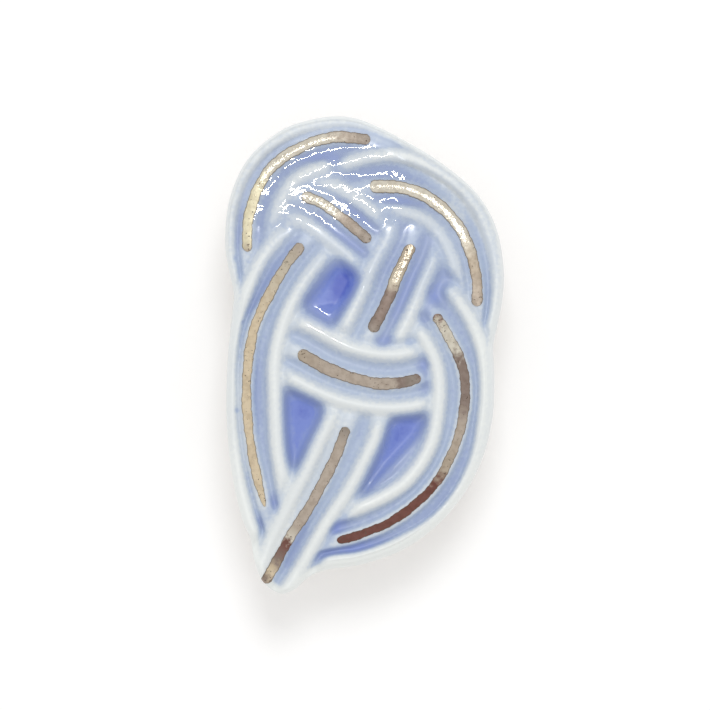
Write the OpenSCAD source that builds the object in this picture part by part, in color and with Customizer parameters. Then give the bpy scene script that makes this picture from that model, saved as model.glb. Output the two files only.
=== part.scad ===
// Glazed porcelain sash-cord ornament in the form of a tied knot, with a metal cord fitting on its back.
// Seen from above, +Y runs along the length, +X across, and the glazed face looks up along +Z.
// The origin lies under the middle of the ornament, on the surface that the fitting rests on.
// Each strand of the knot is three cords side by side: two white ribs with a lustred ridge between them.

/* [Porcelain relief] */
// Thickness of the pocket floors at the rim, above the flat back
floor_height = 2.6; // [2:0.1:3.4]
// How much higher the domed face stands at its middle than at its rim
crown_rise = 1.6; // [0.4:0.1:2.4]
// Rise of the grooves between the cords above the pocket floors
groove_rise = 0.9; // [0.6:0.1:1.1]
// Rise of a strand's middle cord, the ridge, above the pocket floors
ridge_rise = 1.5; // [1.3:0.1:1.8]
// Rise of a strand's two outer cords, the ribs, above the pocket floors
rib_rise = 1.9; // [1.6:0.1:2.3]
// Half the width of a rib on its side towards the ridge
rib_half = 0.95; // [0.8:0.05:1.05]
// Half the width of a rib on its outer side
rib_outer = 1.35; // [1:0.05:1.5]
// Half the width of a ridge at its foot
ridge_half = 0.95; // [0.8:0.05:1]
// Length over which a strand sinks before it passes under another
tuck_run = 1.7; // [1.2:0.1:2.2]

/* [Lustre strokes] */
// Width of a brushed metal stroke
stroke_width = 0.95; // [0.7:0.05:1.1]
// Thickness of a brushed metal stroke
stroke_thickness = 0.12; // [0.1:0.02:0.2]

/* [Cord fitting] */
// Clear width of the loops, for a flat sash cord
loop_clear_w = 12; // [9:0.5:13]
// Clear height of the loops
loop_clear_h = 4.5; // [4.5:0.5:6]
// Thickness of the fitting's strip and plate
strip = 0.8; // [0.6:0.1:1.2]
// Width of each loop along the cord
loop_len = 3; // [2:0.5:4]
// Length of the plate that is glued to the porcelain
plate_len = 20; // [16:1:24]
// Width of the plate
plate_w = 10; // [8:0.5:12]
// Outer radius of the loops' bends
loop_bend = 1.6; // [1.2:0.1:2]

/* [Hidden] */
$fn = 48;

// Thickness of the glue between the plate and the porcelain
glue_gap = 0.05;
// Height of the porcelain's flat back above the surface that the fitting rests on
back_z = loop_clear_h + 2 * strip + glue_gap;
// Radius of the plate's corners
plate_corner = 1.5;
// Half-widths of the ellipse over which the face is domed
crown_a = 14.5;
crown_b = 24.5;
// Height of the upright side wall under the rounded rim
wall_height = 3.0;
// Width and rise of the rounding between the side wall and the face
rim_width = 0.8;
rim_rise = 1.7;
// Size of the bevel round the back
back_bevel = 0.4;
// How steeply the surface may rise inside the rounding
rim_slope = 4;
// Rise of the shallow hollows outside the deep pockets, and half the width of a pocket's slope
shallow_rise = 0.85;
pocket_slope = 0.35;
// Height that a strand keeps at the foot of the rib that crosses it, above the pocket floors
tuck_low = 0.3;
// Depth below the pocket floors to which a strand's two ends sink
end_depth = 0.3;
// Clearance between a stroke and the ridge under it
stroke_gap = 0.05;
// Share of a stroke's width that its upper side has, and that its two ends have
stroke_top = 0.75;
stroke_end = 0.6;

// Distance between the points of the surface, and the closer ones near the rim
grid = 0.52;
rim_grid = [0, 0.12, 0.36, 0.72];
// Columns of points from side to side
columns = 54;
// A row of points shorter than this has its closer points drawn together
narrow_row = 8;
// Distance of the first and last rows of points from the outline's ends
end_inset = 0.04;
// Points along a strand, between two rows of its table, at which its course is known
stations_per_row = 3;
// Points round the rim between two corners of the outline
rim_steps = 3;
// Rings of a lustre stroke between two rows of its strand's table
stroke_rings_per_row = 3;
// Part of a row over which a path's travel is measured, to either side
travel_step = 0.05;

// Outline of the porcelain seen from above, anticlockwise from the top: x, y
outline = [
    [-3.0, 23.9], [-5.6, 23.5], [-8.5, 22.4], [-11.7, 19.6], [-13.5, 15.6], [-13.95, 11.5],
    [-13.6, 8.6], [-13.1, 6.3], [-13.2, 4.4], [-13.6, 0.8], [-13.8, -2.8], [-13.8, -6.4],
    [-13.5, -10.2], [-12.9, -13.8], [-12.2, -16.5], [-11.4, -18.4], [-11.1, -20.2],
    [-10.6, -21.9], [-9.7, -23.2], [-8.3, -23.9], [-6.9, -23.4], [-5.7, -22.3],
    [-3.8, -21.5], [-0.4, -21.0], [3.6, -19.6], [7.1, -17.2], [9.9, -14.0], [11.8, -10.4],
    [12.8, -6.4], [13.0, -2.6], [12.9, 0.8], [13.3, 2.9], [13.8, 5.5], [13.95, 8.5],
    [13.2, 12.7], [11.2, 16.2], [7.6, 19.3], [3.6, 21.7], [1.0, 23.0], [-0.9, 23.7]
];

// Outlines of the three deep pockets: x, y
pockets = [
    [[-2.4, 9.2], [-0.7, 8.8], [-0.6, 8.0], [-2.2, 3.3], [-3.4, 3.0], [-5.7, 4.6], [-5.7, 5.3]],
    [[-7.6, -3.3], [-4.5, -5.0], [-4.6, -6.1], [-7.1, -12.5], [-7.9, -12.5], [-7.7, -6.6]],
    [[2.2, -6.3], [5.9, -6.3], [5.2, -8.0], [0.0, -13.6], [-1.0, -13.9], [-0.7, -12.4]]
];

// Path of each strand's ridge: x, y, distance to the crest of the left rib, and to that of the right rib
upper_left = [
    [-10.8, 5.2, 1.9, 2.0], [-11.3, 7.3, 1.9, 2.2], [-11.7, 10.5, 1.9, 2.5], [-11.6, 13.5, 1.9, 2.6],
    [-10.6, 16.8, 1.9, 2.6], [-8.7, 19.3, 1.9, 2.5], [-5.9, 21.0, 1.8, 2.6], [-2.7, 21.8, 1.7, 2.7],
    [0.2, 21.5, 1.7, 2.4], [2.4, 20.7, 1.7, 2.2], [4.8, 19.5, 1.7, 2.0]
];
upper_right = [
    [-2.6, 16.0, 2.6, 1.7], [-1.5, 16.3, 2.8, 1.8], [0.8, 16.8, 3.0, 2.2], [3.2, 16.8, 3.2, 2.4],
    [5.6, 16.1, 3.0, 2.1], [7.9, 14.6, 2.8, 1.9], [9.6, 12.5, 2.6, 1.9], [10.7, 10.0, 2.4, 1.9],
    [11.2, 7.5, 2.2, 1.9], [11.2, 5.0, 2.1, 1.8], [10.8, 2.7, 2.0, 1.8], [10.2, 0.8, 2.0, 1.8]
];
inner_left = [
    [-9.0, 16.2, 2.0, 2.4], [-7.7, 16.2, 2.0, 2.4], [-6.2, 15.9, 2.0, 2.4], [-4.3, 15.2, 2.2, 2.5],
    [-2.0, 13.5, 2.4, 2.5], [0.4, 11.5, 2.4, 2.5], [1.6, 10.4, 2.4, 2.5], [3.0, 9.0, 2.4, 2.5]
];
inner_right = [
    [5.8, 14.8, 2.2, 2.4], [5.2, 12.9, 2.4, 2.4], [4.6, 10.8, 2.6, 2.4], [3.3, 8.0, 2.7, 2.6],
    [2.15, 5.2, 2.7, 2.6], [0.8, 2.5, 2.7, 2.6], [0.2, 1.2, 2.7, 2.6], [-0.8, -1.0, 2.7, 2.6]
];
left_side = [
    [-3.8, 13.9, 2.4, 2.2], [-5.1, 12.4, 2.4, 2.2], [-6.3, 11.0, 2.4, 2.2], [-8.0, 8.7, 2.4, 2.4],
    [-9.7, 5.7, 2.4, 2.2], [-11.0, 2.7, 2.6, 2.0], [-11.6, -0.5, 2.6, 1.9], [-11.8, -4.0, 2.8, 1.7],
    [-11.6, -7.0, 2.7, 1.8], [-11.2, -10.0, 2.5, 1.8], [-10.65, -12.5, 2.4, 1.9], [-10.05, -14.8, 2.1, 1.9],
    [-9.3, -17.0, 2.0, 2.0], [-8.4, -19.0, 1.8, 2.0]
];
right_side = [
    [5.6, 6.4, 2.6, 2.4], [6.3, 5.2, 2.6, 2.4], [7.2, 3.8, 2.7, 2.2], [8.5, 1.7, 2.7, 2.2],
    [9.6, -0.7, 2.4, 2.4], [10.1, -3.5, 2.1, 2.6], [9.75, -6.5, 2.2, 2.5], [8.9, -9.5, 2.5, 2.3],
    [7.3, -12.5, 2.7, 2.3], [5.1, -14.9, 2.7, 2.3], [2.1, -16.9, 2.4, 2.5], [-0.9, -18.1, 2.3, 2.5],
    [-2.6, -18.5, 2.1, 2.5], [-4.2, -18.8, 2.1, 2.5], [-6.6, -19.3, 2.1, 2.5]
];
middle = [
    [-10.4, 1.9, 2.7, 2.5], [-8.5, 1.1, 2.7, 2.5], [-6.5, 0.2, 2.8, 2.6], [-4.0, -1.2, 2.8, 2.5],
    [-1.5, -2.2, 2.8, 2.5], [1.5, -2.85, 2.9, 2.4], [4.0, -2.7, 2.8, 2.5], [6.0, -2.1, 2.7, 2.6],
    [8.0, -1.4, 2.6, 2.6]
];
tail = [
    [-0.6, -3.6, 2.9, 1.8], [-1.2, -5.5, 2.9, 1.8], [-1.85, -7.4, 3.0, 1.8], [-2.6, -9.4, 2.8, 2.0],
    [-3.9, -12.3, 2.6, 2.0], [-5.6, -15.3, 2.3, 1.9], [-7.9, -19.0, 2.4, 1.5], [-9.8, -22.5, 2.2, 1.0],
    [-10.9, -24.8, 2.0, 0.8]
];

// The knot: name, path, numbers of the strands that cross over it, and the stroke's first and last row
STRANDS = [
    ["upper_left", upper_left, [4, 1], 2, 7.8],
    ["upper_right", upper_right, [2, 5], 2, 9],
    ["inner_left", inner_left, [0, 3], 2, 5],
    ["inner_right", inner_right, [1, 6], 2, 5],
    ["left_side", left_side, [2, 7], 2, 11],
    ["right_side", right_side, [3, 7], 2, 12],
    ["middle", middle, [4, 5], 2, 6.7],
    ["tail", tail, [6], 2, 7]
];

// Place between the middle two of four rows that follow each other, on a smooth curve through them
function smooth(a, b, c, d, f) =
    0.5 * (2 * b + (c - a) * f + (2 * a - 5 * b + 4 * c - d) * f * f + (3 * b - a - 3 * c + d) * f * f * f);

// A point, with its two distances, on the smooth path through a table's rows, at a row number
function along(rows, t) =
    let (
        last = len(rows) - 1,
        i = min(floor(t), last - 1)
    )
    smooth(rows[max(i - 1, 0)], rows[i], rows[i + 1], rows[min(i + 2, last)], t - i);

// Travel along a path at a row number, for one row
function travel(rows, t) =
    let (
        last = len(rows) - 1,
        from = max(t - travel_step, 0),
        to = min(t + travel_step, last),
        a = along(rows, from),
        b = along(rows, to)
    )
    [b.x - a.x, b.y - a.y] / (to - from);

// Stations of a strand: x, y, distance to the left rib, to the right rib, travel in x and in y
function stations(rows) = [
    for (k = [0 : (len(rows) - 1) * stations_per_row])
        let (t = k / stations_per_row, p = along(rows, t), go = travel(rows, t))
        [p[0], p[1], p[2], p[3], go.x, go.y]
];
TRACKS = [for (s = STRANDS) stations(s[1])];

// Where a place lies by a strand: distance to the left of its ridge, distances to its ribs, row, last row
function spot(track, x, y) =
    let (
        far = [for (q = track) (q[0] - x) * (q[0] - x) + (q[1] - y) * (q[1] - y)],
        i = search(min(far), far)[0],
        q = track[i],
        speed = norm([q[4], q[5]]),
        across = ((y - q[1]) * q[4] - (x - q[0]) * q[5]) / speed,
        ahead = ((x - q[0]) * q[4] + (y - q[1]) * q[5]) / speed
    )
    [across, q[2], q[3], i / stations_per_row + ahead / speed, (len(track) - 1) / stations_per_row];

// Smooth swell from 0 at a distance of 1 on either side to 1 in the middle
function bell(q) = abs(q) < 1 ? 0.5 + 0.5 * cos(180 * q) : 0;

// How much higher the dome stands over a place than at the rim
function crown(x, y) = crown_rise * max(0, 1 - pow(x / crown_a, 2) - pow(y / crown_b, 2));

// How far a strand has sunk into the body near either end of its path
function sunk(row, last) = (rib_rise + end_depth) * max(0, 1 - min(row, last - row));

// Share of its rise that the flat-topped ridge has at a distance from its middle
function ridge_share(across) = bell(max(0, abs(across) - stroke_width / 2) / (ridge_half - stroke_width / 2));

// Rise of a strand by itself above the pocket floors, at a spot beside it
function strand_rise(place) =
    let (across = place[0], left_rib = place[1], right_rib = place[2])
    across > left_rib ? rib_rise * bell((across - left_rib) / rib_outer)
    : across < -right_rib ? rib_rise * bell((across + right_rib) / rib_outer)
    : groove_rise + max(
        (rib_rise - groove_rise) * bell((across - left_rib) / rib_half),
        (rib_rise - groove_rise) * bell((across + right_rib) / rib_half),
        (ridge_rise - groove_rise) * ridge_share(across)
    );

// Greatest rise that a strand leaves to one that passes under it
function room_beside(place) =
    let (out = max(place[0] - place[1], -place[0] - place[2]))
    place[3] < 0 || place[3] > place[4] ? rib_rise
    : out <= 0 ? 0
    : tuck_low + (rib_rise - tuck_low) * out / tuck_run;

// Distance from a place to the straight line between two others
function to_side(p, a, b) =
    let (side = b - a, f = max(0, min(1, (p - a) * side / (side * side))))
    norm(p - a - f * side);

// Distance from a place to a closed outline
function to_outline(p, corners) = min([
    for (k = [0 : len(corners) - 1])
        to_side(p, corners[k], corners[(k + 1) % len(corners)])
]);

// Places where a closed outline crosses a line of equal y
function crossings(y, corners) = [
    for (k = [0 : len(corners) - 1])
        let (a = corners[k], b = corners[(k + 1) % len(corners)])
        if ((a.y <= y) != (b.y <= y)) a.x + (b.x - a.x) * (y - a.y) / (b.y - a.y)
];

// Whether a place lies inside a closed outline
function lies_inside(p, corners) = len([for (x = crossings(p.y, corners)) if (x > p.x) x]) % 2 == 1;

// Share of a deep pocket's depth that a place has
function pocket_share(p) = max([
    for (corners = pockets)
        let (d = to_outline(p, corners) * (lies_inside(p, corners) ? 1 : -1))
        max(0, min(1, 0.5 + 0.5 * d / pocket_slope))
]);

// Rise of the whole knot above the pocket floors
function knot_rise(x, y) =
    let (places = [for (track = TRACKS) spot(track, x, y)])
    max([
        shallow_rise * (1 - pocket_share([x, y])),
        for (i = [0 : len(STRANDS) - 1])
            min([
                strand_rise(places[i]) - sunk(places[i][3], places[i][4]),
                for (over = STRANDS[i][2]) room_beside(places[over])
            ])
    ]);

// Points of the smooth closed curve through the outline's corners
RIM = [
    for (k = [0 : len(outline) * rim_steps - 1])
        let (
            n = len(outline),
            i = floor(k / rim_steps)
        )
        smooth(
            outline[(i + n - 1) % n], outline[i], outline[(i + 1) % n], outline[(i + 2) % n],
            k / rim_steps - i
        )
];

// Height to which the rounded rim lets the surface rise at a distance from the outline
function rim_height(d) =
    d >= rim_width ? wall_height + rim_rise + (d - rim_width) * rim_slope
    : wall_height + rim_rise * sqrt(1 - pow(1 - d / rim_width, 2));

// Height of the glazed face above the flat back
function face_height(x, y) =
    min(rim_height(to_outline([x, y], RIM)), floor_height + crown(x, y) + knot_rise(x, y));

// Steps from one edge to the other: close together near both edges and even between them
function spread(from, to, count) =
    let (
        edge = len(rim_grid) - 1,
        small = min(1, (to - from) / narrow_row),
        low = from + rim_grid[edge] * small,
        high = to - rim_grid[edge] * small
    )
    concat(
        [for (i = [0 : edge - 1]) from + rim_grid[i] * small],
        [for (i = [0 : count - 2 * edge]) low + (high - low) * i / (count - 2 * edge)],
        [for (i = [edge - 1 : -1 : 0]) to - rim_grid[i] * small]
    );

// The porcelain's skin as one closed solid: rows of surface points from the tail to the top, walls and back
module knot_solid() {
    low_y = min([for (p = RIM) p.y]) + end_inset;
    high_y = max([for (p = RIM) p.y]) - end_inset;
    ys = spread(low_y, high_y, round((high_y - low_y) / grid));
    top = [
        for (y = ys)
            let (xs = crossings(y, RIM))
            [for (x = spread(min(xs), max(xs), columns)) [x, y, face_height(x, y)]]
    ];
    rows = len(top);
    size = len(top[0]);
    sides = [for (row = top) for (p = [row[0], row[size - 1]]) [p.x, p.y, back_bevel]];
    back = [
        for (row = top)
            let (
                inset = min(back_bevel, (row[size - 1].x - row[0].x) / 4),
                y = row[0].y * (1 - 2 * back_bevel / (high_y - low_y))
            )
            for (x = [row[0].x + inset, row[size - 1].x - inset])
                [x, y, 0]
    ];
    first_side = rows * size;
    first_back = first_side + 2 * rows;
    face_cells = [
        for (i = [0 : rows - 2], j = [0 : size - 2])
            let (a = i * size + j, b = a + 1, d = a + size, c = d + 1)
            each abs(top[i][j].z - top[i + 1][j + 1].z) < abs(top[i][j + 1].z - top[i + 1][j].z)
            ? [[a, c, b], [a, d, c]]
            : [[a, d, b], [b, d, c]]
    ];
    strips = [
        for (i = [0 : rows - 2])
            let (
                t = i * size,
                u = t + size - 1,
                s = first_side + 2 * i,
                b = first_back + 2 * i
            )
            each [
                [t + size, t, s], [t + size, s, s + 2],
                [s + 2, s, b], [s + 2, b, b + 2],
                [u, u + size, s + 3], [u, s + 3, s + 1],
                [s + 1, s + 3, b + 3], [s + 1, b + 3, b + 1],
                [b, b + 1, b + 3], [b, b + 3, b + 2]
            ]
    ];
    last_row = (rows - 1) * size;
    low_s = first_side;
    high_s = first_side + 2 * (rows - 1);
    low_b = first_back;
    high_b = first_back + 2 * (rows - 1);
    ends = concat(
        [for (j = [0 : size - 2]) [low_s, j, j + 1]],
        [[low_s, size - 1, low_s + 1], [low_b, low_s, low_s + 1], [low_b, low_s + 1, low_b + 1]],
        [for (j = [0 : size - 2]) [high_s, last_row + j + 1, last_row + j]],
        [
            [high_s, high_s + 1, last_row + size - 1],
            [high_b, high_s + 1, high_s],
            [high_b, high_b + 1, high_s + 1]
        ]
    );
    polyhedron(
        points = concat([for (row = top) each row], sides, back),
        faces = concat(face_cells, strips, ends)
    );
}

module porcelain_body() {
    color("aliceblue")
        translate([0, 0, back_z])
            knot_solid();
}

// A place over a strand's ridge, at a distance to its left, at a height above the flat back
function over_ridge(rows, t, across, above) =
    let (
        p = along(rows, t),
        go = travel(rows, t),
        x = p.x - go.y / norm(go) * across,
        y = p.y + go.x / norm(go) * across
    )
    [x, y, floor_height + crown(x, y) + ridge_rise + above];

// Brushed metal stroke along the ridge of a strand, with round ends
module lustre(s) {
    rows = s[1];
    first = s[3];
    last = s[4];
    count = round((last - first) * stroke_rings_per_row);
    low = stroke_gap;
    high = stroke_gap + stroke_thickness;
    rings = [
        for (k = [0 : count])
            let (
                t = first + (last - first) * k / count,
                half = stroke_width / 2 * (k == 0 || k == count ? stroke_end : 1)
            )
            [
                over_ridge(rows, t, half, low),
                over_ridge(rows, t, half * stroke_top, high),
                over_ridge(rows, t, -half * stroke_top, high),
                over_ridge(rows, t, -half, low)
            ]
    ];
    size = len(rings[0]);
    color("tan")
        translate([0, 0, back_z])
            polyhedron(
                points = [for (ring = rings) each ring],
                faces = concat(
                    [[0, 1, 2], [0, 2, 3]],
                    [for (k = [0 : count - 1], j = [0 : size - 1])
                        let (a = k * size + j, b = k * size + (j + 1) % size)
                        each [[a, a + size, b + size], [a, b + size, b]]],
                    [for (face = [[2, 1, 0], [3, 2, 0]]) [for (j = face) count * size + j]]
                )
            );
}

// Rectangle with round corners, its middle at the origin
module rounded_plate(w, h, r) {
    square([w - 2 * r, h], center = true);
    square([w, h - 2 * r], center = true);
    for (x = [-1, 1], y = [-1, 1])
        translate([x * (w / 2 - r), y * (h / 2 - r)])
            circle(r);
}

module cord_fitting() {
    loop_w = loop_clear_w + 2 * strip;
    loop_h = loop_clear_h + 2 * strip;
    color("silver") {
        translate([0, 0, loop_h - strip])
            linear_extrude(strip)
                rounded_plate(plate_w, plate_len, plate_corner);
        for (side = [-1, 1])
            translate([0, side * (plate_len - loop_len) / 2 + loop_len / 2, loop_h / 2])
                rotate([90, 0, 0])
                    linear_extrude(loop_len)
                        difference() {
                            rounded_plate(loop_w, loop_h, loop_bend);
                            rounded_plate(loop_clear_w, loop_clear_h, loop_bend - strip);
                        }
    }
}

porcelain_body();
cord_fitting();
for (s = STRANDS)
    lustre(s);
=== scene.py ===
# %% [markdown]
# This lesson dresses a small porcelain ornament that is worn on the cord of a kimono sash. The
# real one is slip-cast as one piece in the form of a tied knot, glazed in white and blue, and
# then brushed with metallic lustre along the middle of each strand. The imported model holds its
# size and its pieces, so everything here is made in that model's own frame, in metres.

# %% The frame, and the box that the ornament has to keep to
import math

import bpy
import numpy as np
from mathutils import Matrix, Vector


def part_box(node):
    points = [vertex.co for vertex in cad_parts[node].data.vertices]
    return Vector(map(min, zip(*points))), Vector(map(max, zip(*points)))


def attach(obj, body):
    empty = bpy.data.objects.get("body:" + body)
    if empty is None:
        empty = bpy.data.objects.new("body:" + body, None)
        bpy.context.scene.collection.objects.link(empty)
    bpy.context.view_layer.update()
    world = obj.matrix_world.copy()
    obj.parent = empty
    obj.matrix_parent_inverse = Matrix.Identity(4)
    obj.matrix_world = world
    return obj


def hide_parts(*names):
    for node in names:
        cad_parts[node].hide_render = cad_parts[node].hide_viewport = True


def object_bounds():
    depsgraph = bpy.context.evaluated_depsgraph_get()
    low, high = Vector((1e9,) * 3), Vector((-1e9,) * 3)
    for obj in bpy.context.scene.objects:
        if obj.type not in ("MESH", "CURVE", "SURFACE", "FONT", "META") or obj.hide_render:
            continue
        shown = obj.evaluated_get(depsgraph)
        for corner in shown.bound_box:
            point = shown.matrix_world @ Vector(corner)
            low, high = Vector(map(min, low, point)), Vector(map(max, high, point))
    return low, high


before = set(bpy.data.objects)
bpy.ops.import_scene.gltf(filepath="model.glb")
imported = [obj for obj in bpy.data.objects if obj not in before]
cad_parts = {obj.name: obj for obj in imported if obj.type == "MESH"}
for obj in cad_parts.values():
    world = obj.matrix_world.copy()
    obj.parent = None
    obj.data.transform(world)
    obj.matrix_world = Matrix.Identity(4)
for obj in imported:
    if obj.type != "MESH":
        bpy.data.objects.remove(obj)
cad_low, cad_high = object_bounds()
MM = 0.001
print("the model's box in mm:", [round((b - a) / MM, 1) for a, b in zip(cad_low, cad_high)])

# %% [markdown]
# The knot is drawn once: an outline, and for each of its eight strands a path with the
# distances to the round rib on either side of it. These are the model's own values in
# millimetres. A strand's table could be a curve object, but a table is easier to read and to mend.

# %% The outline and the strands of the knot
OUTLINE = [
    [-3.0, 23.9], [-5.6, 23.5], [-8.5, 22.4], [-11.7, 19.6], [-13.5, 15.6], [-13.95, 11.5],
    [-13.6, 8.6], [-13.1, 6.3], [-13.2, 4.4], [-13.6, 0.8], [-13.8, -2.8], [-13.8, -6.4],
    [-13.5, -10.2], [-12.9, -13.8], [-12.2, -16.5], [-11.4, -18.4], [-11.1, -20.2],
    [-10.6, -21.9], [-9.7, -23.2], [-8.3, -23.9], [-6.9, -23.4], [-5.7, -22.3],
    [-3.8, -21.5], [-0.4, -21.0], [3.6, -19.6], [7.1, -17.2], [9.9, -14.0], [11.8, -10.4],
    [12.8, -6.4], [13.0, -2.6], [12.9, 0.8], [13.3, 2.9], [13.8, 5.5], [13.95, 8.5],
    [13.2, 12.7], [11.2, 16.2], [7.6, 19.3], [3.6, 21.7], [1.0, 23.0], [-0.9, 23.7],
]

UPPER_LEFT = [
    [-10.8, 5.2, 1.9, 2.0], [-11.3, 7.3, 1.9, 2.2], [-11.7, 10.5, 1.9, 2.5], [-11.6, 13.5, 1.9, 2.6],
    [-10.6, 16.8, 1.9, 2.6], [-8.7, 19.3, 1.9, 2.5], [-5.9, 21.0, 1.8, 2.6], [-2.7, 21.8, 1.7, 2.7],
    [0.2, 21.5, 1.7, 2.4], [2.4, 20.7, 1.7, 2.2], [4.8, 19.5, 1.7, 2.0],
]
UPPER_RIGHT = [
    [-2.6, 16.0, 2.6, 1.7], [-1.5, 16.3, 2.8, 1.8], [0.8, 16.8, 3.0, 2.2], [3.2, 16.8, 3.2, 2.4],
    [5.6, 16.1, 3.0, 2.1], [7.9, 14.6, 2.8, 1.9], [9.6, 12.5, 2.6, 1.9], [10.7, 10.0, 2.4, 1.9],
    [11.2, 7.5, 2.2, 1.9], [11.2, 5.0, 2.1, 1.8], [10.8, 2.7, 2.0, 1.8], [10.2, 0.8, 2.0, 1.8],
]
INNER_LEFT = [
    [-9.0, 16.2, 2.0, 2.4], [-7.7, 16.2, 2.0, 2.4], [-6.2, 15.9, 2.0, 2.4], [-4.3, 15.2, 2.2, 2.5],
    [-2.0, 13.5, 2.4, 2.5], [0.4, 11.5, 2.4, 2.5], [1.6, 10.4, 2.4, 2.5], [3.0, 9.0, 2.4, 2.5],
]
INNER_RIGHT = [
    [5.8, 14.8, 2.2, 2.4], [5.2, 12.9, 2.4, 2.4], [4.6, 10.8, 2.6, 2.4], [3.3, 8.0, 2.7, 2.6],
    [2.15, 5.2, 2.7, 2.6], [0.8, 2.5, 2.7, 2.6], [0.2, 1.2, 2.7, 2.6], [-0.8, -1.0, 2.7, 2.6],
]
LEFT_SIDE = [
    [-3.8, 13.9, 2.4, 2.2], [-5.1, 12.4, 2.4, 2.2], [-6.3, 11.0, 2.4, 2.2], [-8.0, 8.7, 2.4, 2.4],
    [-9.7, 5.7, 2.4, 2.2], [-11.0, 2.7, 2.6, 2.0], [-11.6, -0.5, 2.6, 1.9], [-11.8, -4.0, 2.8, 1.7],
    [-11.6, -7.0, 2.7, 1.8], [-11.2, -10.0, 2.5, 1.8], [-10.65, -12.5, 2.4, 1.9], [-10.05, -14.8, 2.1, 1.9],
    [-9.3, -17.0, 2.0, 2.0], [-8.4, -19.0, 1.8, 2.0],
]
RIGHT_SIDE = [
    [5.6, 6.4, 2.6, 2.4], [6.3, 5.2, 2.6, 2.4], [7.2, 3.8, 2.7, 2.2], [8.5, 1.7, 2.7, 2.2],
    [9.6, -0.7, 2.4, 2.4], [10.1, -3.5, 2.1, 2.6], [9.75, -6.5, 2.2, 2.5], [8.9, -9.5, 2.5, 2.3],
    [7.3, -12.5, 2.7, 2.3], [5.1, -14.9, 2.7, 2.3], [2.1, -16.9, 2.4, 2.5], [-0.9, -18.1, 2.3, 2.5],
    [-2.6, -18.5, 2.1, 2.5], [-4.2, -18.8, 2.1, 2.5], [-6.6, -19.3, 2.1, 2.5],
]
MIDDLE = [
    [-10.4, 1.9, 2.7, 2.5], [-8.5, 1.1, 2.7, 2.5], [-6.5, 0.2, 2.8, 2.6], [-4.0, -1.2, 2.8, 2.5],
    [-1.5, -2.2, 2.8, 2.5], [1.5, -2.85, 2.9, 2.4], [4.0, -2.7, 2.8, 2.5], [6.0, -2.1, 2.7, 2.6],
    [8.0, -1.4, 2.6, 2.6],
]
TAIL = [
    [-0.6, -3.6, 2.9, 1.8], [-1.2, -5.5, 2.9, 1.8], [-1.85, -7.4, 3.0, 1.8], [-2.6, -9.4, 2.8, 2.0],
    [-3.9, -12.3, 2.6, 2.0], [-5.6, -15.3, 2.3, 1.9], [-7.9, -19.0, 2.4, 1.5], [-9.8, -22.5, 2.2, 1.0],
    [-10.9, -24.8, 2.0, 0.8],
]

# Name, path, the strands that cross over it, and the rows between which its lustre is brushed
STRANDS = [
    ("upper_left", UPPER_LEFT, ["left_side", "upper_right"], 1.95, 8.15),
    ("upper_right", UPPER_RIGHT, ["inner_left", "right_side"], 1.9, 9.05),
    ("inner_left", INNER_LEFT, ["upper_left", "inner_right"], 1.95, 5.1),
    ("inner_right", INNER_RIGHT, ["upper_right", "middle"], 1.9, 5.1),
    ("left_side", LEFT_SIDE, ["inner_left", "tail"], 1.95, 11.15),
    ("right_side", RIGHT_SIDE, ["inner_right", "tail"], 1.85, 12.1),
    ("middle", MIDDLE, ["left_side", "right_side"], 1.95, 6.8),
    ("tail", TAIL, ["middle"], 1.9, 7.1),
]
print("strands:", [name for name, *_ in STRANDS])

# %% [markdown]
# A rope, a cord or a strand is easiest to follow as a smooth path with even steps. This helper
# runs a smooth curve through any table's rows, and gives its points at row numbers with fractions.

# %% Smooth paths through the tables
def along(table, t, closed=False):
    """Points on the smooth path through a table's rows, at the row numbers t."""
    table = np.asarray(table, float)
    count = len(table)
    last = count if closed else count - 1
    i = np.minimum(np.floor(t).astype(int), last - 1)
    f = (t - i)[:, None]

    def row(k):
        return table[k % count if closed else np.clip(k, 0, count - 1)]

    a, b, c, d = row(i - 1), row(i), row(i + 1), row(i + 2)
    return 0.5 * (2 * b + (c - a) * f + (2 * a - 5 * b + 4 * c - d) * f**2 + (3 * b - a - 3 * c + d) * f**3)


STATIONS_PER_ROW = 12


def track(table):
    """Stations along a strand: row numbers, points, directions, speeds and distances to its ribs."""
    t = np.linspace(0, len(table) - 1, (len(table) - 1) * STATIONS_PER_ROW + 1)
    rows = along(table, t)
    travel = np.gradient(rows[:, :2], t, axis=0)
    speed = np.linalg.norm(travel, axis=1)
    return t, rows[:, :2], travel / speed[:, None], speed, rows[:, 2], rows[:, 3]


TRACKS = {name: track(table) for name, table, *_ in STRANDS}
lengths = {name: round(float((s[3][:-1] * np.diff(s[0])).sum()), 1) for name, s in TRACKS.items()}
print("length of each strand in mm:", lengths)

# %% [markdown]
# The relief of a moulded knot could be sculpted, or made from eight swept cords joined and
# remeshed. A height for every spot is steadier here: each strand gives two round ribs and a low
# ridge between them, and leaves only a little room beside it for a strand that passes under it.

# %% The relief of one strand
GROOVE_RISE, RIDGE_RISE, RIB_RISE = 0.9, 1.5, 1.9
RIB_INNER, RIB_OUTER, RIDGE_HALF = 0.95, 1.35, 0.95
RIDGE_FULLNESS = 1.2
STROKE_WIDTH = 1.0
TUCK_RUN, TUCK_LOW = 1.7, 0.35


def spot(name, x, y):
    """Where places lie by a strand: across its ridge, distances to its ribs, row, last row."""
    t, points, way, speed, left, right = TRACKS[name]
    i = ((x[:, None] - points[:, 0]) ** 2 + (y[:, None] - points[:, 1]) ** 2).argmin(axis=1)
    dx, dy = x - points[i, 0], y - points[i, 1]
    across = dy * way[i, 0] - dx * way[i, 1]
    ahead = dx * way[i, 0] + dy * way[i, 1]
    return across, left[i], right[i], t[i] + ahead / speed[i], t[-1]


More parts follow.
